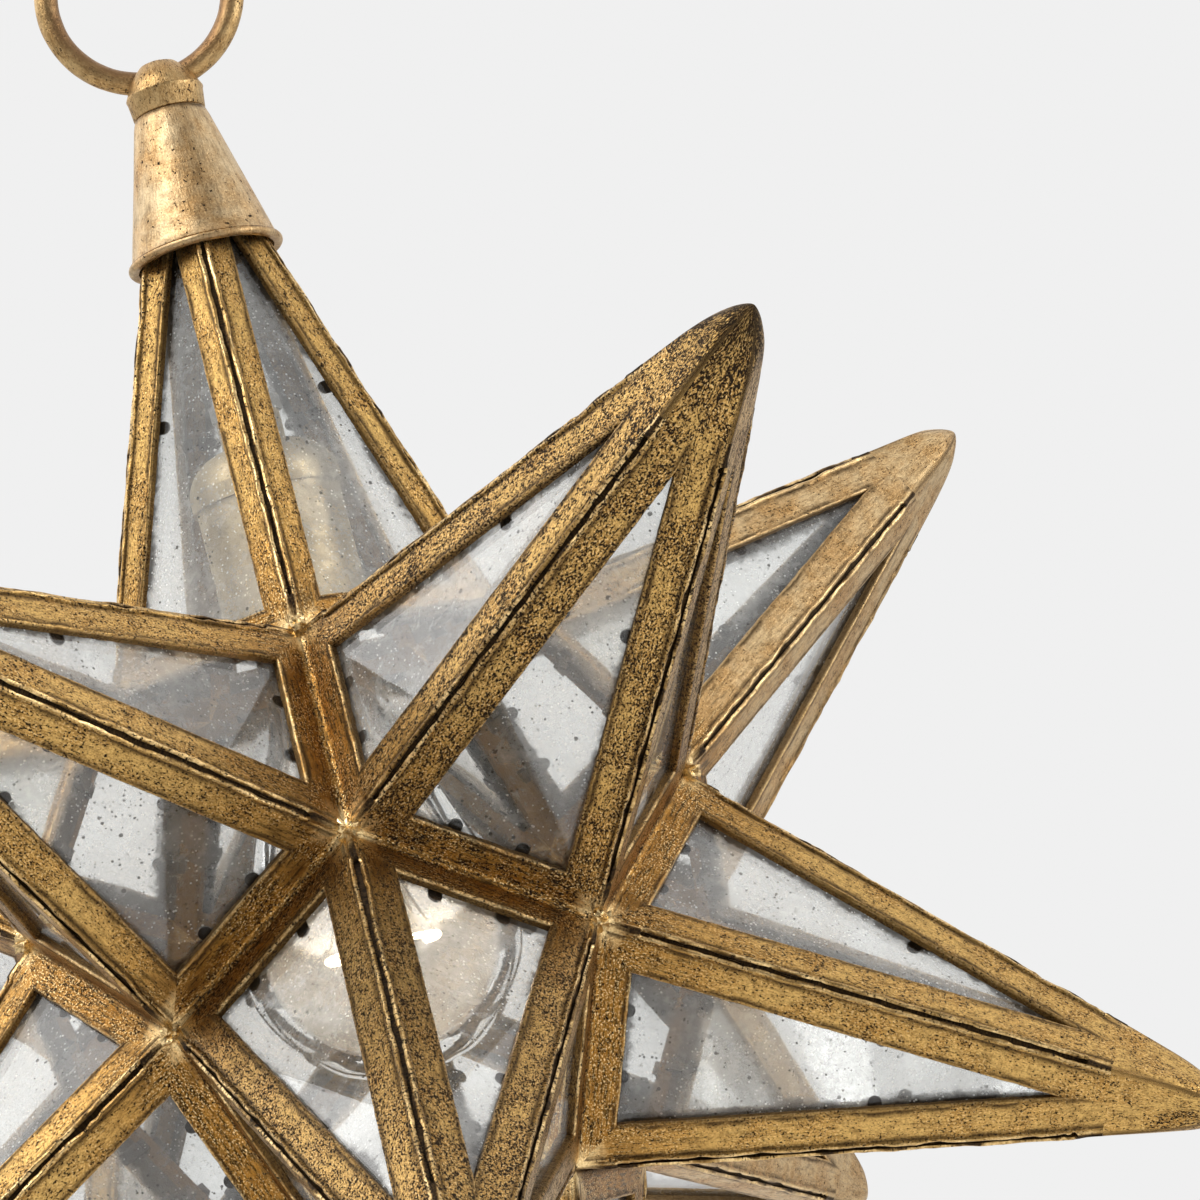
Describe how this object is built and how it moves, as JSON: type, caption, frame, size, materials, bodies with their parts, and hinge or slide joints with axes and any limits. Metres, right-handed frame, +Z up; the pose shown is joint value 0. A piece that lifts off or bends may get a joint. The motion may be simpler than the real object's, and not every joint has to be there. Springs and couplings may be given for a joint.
{
  "type": "moravian star pendant",
  "caption": "Glazed star-shaped pendant light with gilded metal frames, conical cap, hanging ring, clear lamp and a hinged point for changing the lamp.",
  "frame": {"origin": "top of the hanging ring's opening, where a chain link or hook bears", "axes": "+Z up along the star's axis, -Y to the front, with the ring in the XZ plane; the star's centre is 260 mm below the origin"},
  "size_m": [0.351, 0.3688, 0.4723],
  "materials": {
    "gilded_iron": "antiqued gilding over iron, speckled dark",
    "antiqued_glass": "clouded, lightly tarnished at the edges",
    "blackened_tin": "dark tinned steel",
    "steel": "plain zinc-plated steel",
    "brass": "plain brass",
    "fibre_liner": "vulcanised fibre",
    "black_insulator": "black phenolic and glass",
    "clear_glass": "clear blown glass",
    "filament_wire": "tungsten wire, lit"
  },
  "bodies": {
    "star_body": {"bulb_base": "brass", "bulb_contact": "brass", "bulb_glass": "clear_glass", "bulb_insulator": "black_insulator", "bulb_stem": "clear_glass", "door_catch_spring": "steel", "filament": "filament_wire", "filament_supports": "steel", "hanging_ring": "gilded_iron", "hinge_leaf_body": "gilded_iron", "hinge_pin": "gilded_iron", "lock_nuts": "steel", "lower_pane_tabs": "blackened_tin", "lower_point_frame_1": "gilded_iron", "lower_point_frame_2": "gilded_iron", "lower_point_frame_3": "gilded_iron", "lower_point_frame_4": "gilded_iron", "lower_point_frame_5": "gilded_iron", "lower_point_glass_1": "antiqued_glass", "lower_point_glass_2": "antiqued_glass", "lower_point_glass_3": "antiqued_glass", "lower_point_glass_4": "antiqued_glass", "lower_point_glass_5": "antiqued_glass", "socket_cap": "brass", "socket_contact": "brass", "socket_core": "black_insulator", "socket_liner": "fibre_liner", "socket_screw_shell": "brass", "socket_shell": "brass", "spun_cap": "gilded_iron", "terminal_screws": "brass", "threaded_nipple": "steel", "top_disc": "steel", "top_pane_tabs": "blackened_tin", "top_point_frame": "gilded_iron", "top_point_glass": "antiqued_glass", "upper_pane_tabs": "blackened_tin", "upper_point_frame_1": "gilded_iron", "upper_point_frame_2": "gilded_iron", "upper_point_frame_3": "gilded_iron", "upper_point_frame_4": "gilded_iron", "upper_point_frame_5": "gilded_iron", "upper_point_glass_1": "antiqued_glass", "upper_point_glass_2": "antiqued_glass", "upper_point_glass_3": "antiqued_glass", "upper_point_glass_4": "antiqued_glass", "upper_point_glass_5": "antiqued_glass"},
    "door": {"door_frame": "gilded_iron", "door_glass": "antiqued_glass", "door_pane_tabs": "blackened_tin", "hinge_leaf_door": "gilded_iron"}
  },
  "joints": [
    {"name": "door_hinge", "type": "hinge", "parent": "star_body", "child": "door", "pos_m": [0, -0.04303, -0.32924], "axis": [-1, 0, 0], "range_deg": [0, 90]}
  ]
}
